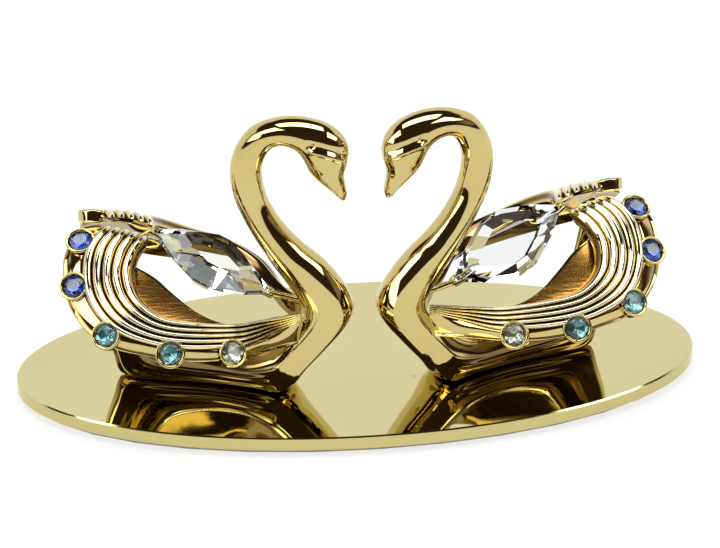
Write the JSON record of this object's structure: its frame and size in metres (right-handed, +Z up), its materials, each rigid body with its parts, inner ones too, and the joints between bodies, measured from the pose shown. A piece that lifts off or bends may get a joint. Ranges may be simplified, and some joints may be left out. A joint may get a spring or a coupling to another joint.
{
  "type": "swan figurine",
  "caption": "Pair of polished gold swans facing each other on an oval mirror plate, with ribbed wings, round set stones and a pointed crystal between the wings.",
  "frame": {"origin": "on the table under the middle of the oval plate", "axes": "+X along the plate's length to the viewer's right, +Y away from the viewer, +Z up"},
  "size_m": [0.12, 0.058, 0.0556],
  "materials": {
    "gold": "polished gold plating",
    "clear": "cut and polished clear crystal",
    "aqua": "cut and polished aqua crystal",
    "blue": "cut and polished deep blue crystal",
    "felt": "thin black felt"
  },
  "bodies": {
    "root": {"base_pad": "felt", "oval_base": "gold", "swan_left_body": "gold", "swan_left_crystal": "clear", "swan_left_stone_far_1": "clear", "swan_left_stone_far_2": "aqua", "swan_left_stone_far_3": "aqua", "swan_left_stone_far_4": "blue", "swan_left_stone_far_5": "blue", "swan_left_stone_near_1": "clear", "swan_left_stone_near_2": "aqua", "swan_left_stone_near_3": "aqua", "swan_left_stone_near_4": "blue", "swan_left_stone_near_5": "blue", "swan_left_wing_far": "gold", "swan_left_wing_near": "gold", "swan_right_body": "gold", "swan_right_crystal": "clear", "swan_right_stone_far_1": "clear", "swan_right_stone_far_2": "aqua", "swan_right_stone_far_3": "aqua", "swan_right_stone_far_4": "blue", "swan_right_stone_far_5": "blue", "swan_right_stone_near_1": "clear", "swan_right_stone_near_2": "aqua", "swan_right_stone_near_3": "aqua", "swan_right_stone_near_4": "blue", "swan_right_stone_near_5": "blue", "swan_right_wing_far": "gold", "swan_right_wing_near": "gold"}
  },
  "joints": []
}
